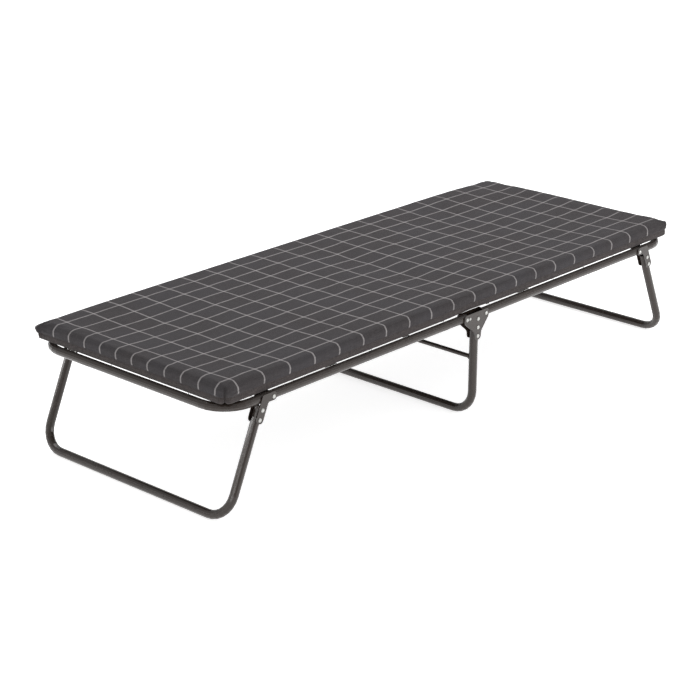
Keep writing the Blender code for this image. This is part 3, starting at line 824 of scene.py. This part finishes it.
def thicken(piece, thickness):
    """Gives a sheet its thickness, on both sides of where it lies."""
    modifier = piece.modifiers.new("thickness", "SOLIDIFY")
    modifier.thickness = thickness
    modifier.offset = 0.0
    graph = bpy.context.evaluated_depsgraph_get()
    solid = bpy.data.meshes.new_from_object(piece.evaluated_get(graph))
    piece.modifiers.clear()
    piece.data = solid


def spring_rows(end_name):
    """One half's springs by row, each as its foot on its rod, its direction out, and its reach to its hole."""
    end = ENDS[end_name]
    rows = {"right": [], "left": [], "end": []}
    for side_name, side in SIDES.items():
        outward = Vector((0, side, 0))
        for k in range(SIDE_SPRINGS):
            foot = Vector((SPRING_START[end_name] + k * SPRING_PITCH, side * ROD_Y, DECK_Z))
            rows[side_name].append((foot, outward, SIDE_Y - HOOK_INSET - ROD_Y))
    outward = Vector((end, 0, 0))
    for k in range(END_SPRINGS):
        foot = Vector((end * ROD_X, (k - (END_SPRINGS - 1) / 2) * END_SPRING_PITCH, DECK_Z))
        rows["end"].append((foot, outward, END_X - HOOK_INSET - ROD_X))
    return rows


def spring_path(foot, outward, reach):
    """One wire: a loop round the rod, a close coil, and a tail that turns down into the tube's hole."""
    up = Vector((0, 0, 1))
    side = outward.cross(up)
    loop = ROD_RADIUS + LOOP_CLEARANCE
    path = []
    for step in range(LOOP_POINTS):
        turn = math.radians(LOOP_FROM + LOOP_STEP * step)
        round_rod = (outward * math.cos(turn) + up * math.sin(turn)) * loop
        path.append(foot + round_rod + side * LOOP_PITCH * step)
    coil_to = reach - COIL_TO_HOLE
    for step in range(COIL_TURNS * COIL_STEPS + 1):
        share = step / (COIL_TURNS * COIL_STEPS)
        turn = 2 * math.pi * step / COIL_STEPS
        narrowing = max(0.0, (share - COIL_TAPER[0]) / (1 - COIL_TAPER[0]))
        radius = COIL_RADIUS * (1 - COIL_TAPER[1] * narrowing)
        at = foot + outward * (COIL_FROM + (coil_to - COIL_FROM) * share) - up * COIL_TAPER[2] * narrowing
        path.append(at + (up * math.cos(turn) + side * math.sin(turn)) * radius)
    hole = foot + outward * reach
    for short, above in TAIL:
        path.append(hole - outward * short + up * above)
    return path


def add_wires(name, paths, radius, resolution, material, body):
    """Round wire along each path, as one piece."""
    curve = bpy.data.curves.new(name, "CURVE")
    curve.dimensions = "3D"
    curve.bevel_depth = radius
    curve.bevel_resolution = resolution
    curve.use_fill_caps = True
    for path in paths:
        spline = curve.splines.new("POLY")
        spline.points.add(len(path) - 1)
        for spline_point, point in zip(spline.points, path):
            spline_point.co = (*point, 1.0)
    curve.materials.append(material)
    piece = bpy.data.objects.new(name, curve)
    bpy.context.collection.objects.link(piece)
    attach(piece, body)
    return piece


def add_springs(end_name, material):
    """Every spring of one half, a row to each edge of the deck, and the rods that they hook on."""
    body = f"{end_name}_half"
    for row, springs in spring_rows(end_name).items():
        paths = [spring_path(*spring) for spring in springs]
        piece = add_wires(f"springs_{end_name}_{row}", paths, WIRE_RADIUS, 1, material, body)
        first, last = springs[0][0], springs[-1][0]
        past = (last - first).normalized() * HEM_GAP * ROD_END
        add_wires(f"deck_rod_{end_name}_{row}", [(first - past, last + past)], ROD_RADIUS, 3, material, body)
        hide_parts(f"{end_name}_{row}_springs")


HEM_OUTLINE = (
    (-0.0120, 0.0009),
    (-0.0060, 0.0017),
    (-0.0020, 0.0030),
    (0.0010, 0.0031),
    (0.0029, 0.0014),
    (0.0029, -0.0014),
    (0.0010, -0.0031),
    (-0.0020, -0.0030),
    (-0.0060, -0.0017),
    (-0.0120, -0.0009),
)
"""A hem's section round its rod: distance out from the rod, and height."""
HEM_END = 0.012  # the length of the hem past the last spring
HEM_STEP = 0.010
HEM_PINCH = 0.22  # how much flatter a hem is at its ends
HEM_RIPPLE = (60.0, 0.10)  # scale, and share of the height


def hem_spans(springs):
    """The stretches of hem along one row: between its springs, and a short one past each end."""
    first, last = springs[0][0], springs[-1][0]
    run = (last - first).normalized()
    feet = [foot for foot, _, _ in springs]
    yield first - run * (HEM_GAP + HEM_END), first - run * HEM_GAP
    for foot, following in zip(feet, feet[1:]):
        yield foot + run * HEM_GAP, following - run * HEM_GAP
    yield last + run * HEM_GAP, last + run * (HEM_GAP + HEM_END)


def hem_ring(bm, at, outward, thick):
    """One ring of a hem's points round its rod, its height scaled by thick."""
    return [bm.verts.new(at + outward * out + Vector((0, 0, up * thick))) for out, up in HEM_OUTLINE]


def join_rings(bm, rings, following_rings):
    """The faces between each ring of points and the one that follows it."""
    for ring, following in zip(rings, following_rings):
        for k, vert in enumerate(ring):
            after = (k + 1) % len(ring)
            bm.faces.new((vert, ring[after], following[after], following[k]))


def finished(bm, name):
    """A mesh from the points and faces that bm holds."""
    mesh = bpy.data.meshes.new(name)
    bm.to_mesh(mesh)
    bm.free()
    mesh.shade_smooth()
    return mesh


def add_hems(end_name, material):
    """The hems that wrap the rods, open at each spring so that the rod shows, as one piece for a half."""
    bm = bmesh.new()
    scale, share_of_height = HEM_RIPPLE
    for springs in spring_rows(end_name).values():
        outward = springs[0][1]
        for start, finish in hem_spans(springs):
            rings = []
            count = max(2, round((finish - start).length / HEM_STEP))
            for step in range(count + 1):
                at = start.lerp(finish, step / count)
                pinch = 1.0 - HEM_PINCH * (step in (0, count))
                ripple = 1.0 + share_of_height * noise.noise(at * scale)
                rings.append(hem_ring(bm, at, outward, pinch * ripple))
            join_rings(bm, rings, rings[1:])
            bm.faces.new(rings[0])
            bm.faces.new(rings[-1][::-1])
    bmesh.ops.recalc_face_normals(bm, faces=bm.faces)
    mesh = finished(bm, f"deck_hem_{end_name}")
    store_cloth(mesh, points_of(mesh))
    hem = add_piece(mesh.name, mesh, material)
    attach(hem, f"{end_name}_half")
    return hem


STITCH_PITCH = 0.0052
STITCH_LENGTH = 0.0036
STITCH_RADIUS = 0.00032
STITCH_WIDTH = STITCH_RADIUS * 1.6
STITCH_INSET = 0.0085  # from the rod in to the line of stitches
STITCH_HEIGHT = 0.00150  # above and below the middle of the hem


def add_stitches(end_name, material):
    """The line of stitches that closes each hem, seen on both faces of the deck, as one piece for a half."""
    bm = bmesh.new()
    size = Matrix.Diagonal((STITCH_LENGTH / 2, STITCH_WIDTH, STITCH_RADIUS, 1.0))
    for springs in spring_rows(end_name).values():
        outward = springs[0][1]
        for start, finish in hem_spans(springs):
            run = (finish - start).normalized()
            turn = run.to_track_quat("X", "Z").to_matrix().to_4x4()
            for k in range(int((finish - start).length / STITCH_PITCH)):
                at = start + run * (k + 0.5) * STITCH_PITCH - outward * STITCH_INSET
                for face in (-1, 1):
                    centre = at + Vector((0, 0, face * STITCH_HEIGHT))
                    place = Matrix.Translation(centre) @ turn @ size
                    bmesh.ops.create_uvsphere(bm, u_segments=6, v_segments=4, radius=1.0, matrix=place)
    mesh = finished(bm, f"deck_stitches_{end_name}")
    stitches = add_piece(mesh.name, mesh, material)
    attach(stitches, f"{end_name}_half")
    return stitches


# ---- welds --------------------------------------------------------------------------------------


WELD_STEPS = 28
WELD_SIDES = 8
BEAD_RADIUS = 0.0019
BEAD_OUT = 0.0006  # from the brace's surface out to the middle of the bead
BEAD_IN = 0.0004  # how deep the middle of the bead is in the upright


def bead_ring(bm, step, centre, brace_radius, side, brace_end):
    """One ring of a weld bead's points, at one step round the brace, on the curved side of the upright."""
    turn = 2 * math.pi * step / WELD_STEPS
    spoke = Vector((math.cos(turn), 0, math.sin(turn)))
    radius = BEAD_RADIUS * (1 + 0.22 * math.sin(step * 2.4) + 0.2 * noise.noise(spoke * 3))
    off_middle = min(TUBE_RADIUS, abs(spoke.x) * brace_radius)
    hollow = TUBE_RADIUS - math.sqrt(TUBE_RADIUS**2 - off_middle**2)
    middle = centre + spoke * (brace_radius + BEAD_OUT)
    middle.y = side * (brace_end - BEAD_IN + hollow)
    ring = []
    for k in range(WELD_SIDES):
        angle = 2 * math.pi * k / WELD_SIDES
        outward = spoke * radius * math.cos(angle) + Vector((0, radius * math.sin(angle), 0))
        ring.append(bm.verts.new(middle + outward))
    return ring


def add_welds(material):
    """The beads where the brace is welded to the middle leg's uprights."""
    low, high = (Vector(corner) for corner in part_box("middle_leg_brace"))
    centre = (low + high) / 2
    brace_radius = (high.x - low.x) / 2
    for side_name, side in SIDES.items():
        bm = bmesh.new()
        rings = [bead_ring(bm, step, centre, brace_radius, side, high.y) for step in range(WELD_STEPS)]
        join_rings(bm, rings, rings[1:] + rings[:1])
        bmesh.ops.recalc_face_normals(bm, faces=bm.faces)
        mesh = finished(bm, f"brace_weld_{side_name}")
        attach(add_piece(mesh.name, mesh, material), "middle_stand")


# ---- stage --------------------------------------------------------------------------------------


FLOOR_HALF = 30.0
FLOOR_GAP = 0.0005  # from the feet down to the floor
FLOOR_GLOW = 0.75
ROOM_LIGHT = 0.62
WHITE = (1.0, 1.0, 1.0, 1.0)
FLOOR_COLOUR = (0.86, 0.86, 0.86, 1.0)
COT_MIDDLE = (0, 0, 0.25)
SOFTBOXES = (
    ("key", (0.6, 1.2, 2.8), (2.4, 1.6), 34.0, COT_MIDDLE),
    ("side", (0.8, -3.4, 1.3), (2.6, 0.8), 30.0, COT_MIDDLE),
)
STRIPS = (
    ("long_strip", (2.3, -1.5, 2.7), (3.4, 0.22), 46.0, (2.3, -0.3, 0.3)),
    ("foot_strip", (-2.9, 2.3, 1.0), (2.2, 0.35), 25.0, (-0.9, 2.3, 0.1)),
    ("end_strip", (-3.6, -0.6, 1.2), (0.35, 1.8), 17.0, COT_MIDDLE),
)
"""Lights: name, place, width and height, watts, and what each one faces. The strips put the long highlights on
the tubes, and leave the cloth alone."""


def add_stage():
    """A plain near-white floor, faintly lit from within like a light table, and a soft white room."""
    bm = bmesh.new()
    bmesh.ops.create_grid(bm, x_segments=1, y_segments=1, size=FLOOR_HALF)
    mesh = bpy.data.meshes.new("floor")
    bm.to_mesh(mesh)
    bm.free()
    floor = bpy.data.objects.new("floor", mesh)
    bpy.context.collection.objects.link(floor)
    floor.location.z = -FLOOR_GAP
    m = Material("floor", Roughness=0.9, Specular_IOR_Level=0.1)
    m.use(Base_Color=FLOOR_COLOUR, Emission_Color=WHITE, Emission_Strength=FLOOR_GLOW)
    mesh.materials.append(m.data)
    world = bpy.data.worlds.new("room")
    world.use_nodes = True
    background = world.node_tree.nodes["Background"]
    background.inputs["Color"].default_value = WHITE
    background.inputs["Strength"].default_value = ROOM_LIGHT
    bpy.context.scene.world = world
    bpy.context.scene.view_settings.view_transform = "Standard"


def add_softbox(name, at, size, watts, target):
    data = bpy.data.lights.new(name, "AREA")
    data.shape = "RECTANGLE"
    data.size, data.size_y = size
    data.energy = watts
    light = bpy.data.objects.new(name, data)
    bpy.context.collection.objects.link(light)
    light.location = at
    light.rotation_euler = (Vector(target) - Vector(at)).to_track_quat("-Z", "Y").to_euler()
    return light


def main():
    add_camera()
    add_stage()
    for softbox in SOFTBOXES:
        add_softbox(*softbox)
    for strip in STRIPS:
        add_softbox(*strip).visible_diffuse = False

    paint = bronze_paint()
    zinc = zinc_plate()
    wire = spring_wire_with_painted_shade()
    slots = {part["node"]: part["material_slot"] for part in frame["record"]["subparts"]}
    looks = {"bronze_paint": paint, "zinc": zinc, "spring_steel": wire}
    for name, node in frame["nodes"].items():
        if slots[name] in looks:
            for slot in node.material_slots:
                slot.material = looks[slots[name]]
    add_pad(checked_cover(), underside_panel())
    woven = deck_cloth()
    decks = add_deck(woven)
    thread = sewing_thread()
    for (end_name, end), deck in zip(ENDS.items(), decks):
        add_springs(end_name, wire)
        hem = add_hems(end_name, woven)
        stitches = add_stitches(end_name, thread)
    add_welds(paint)


main()
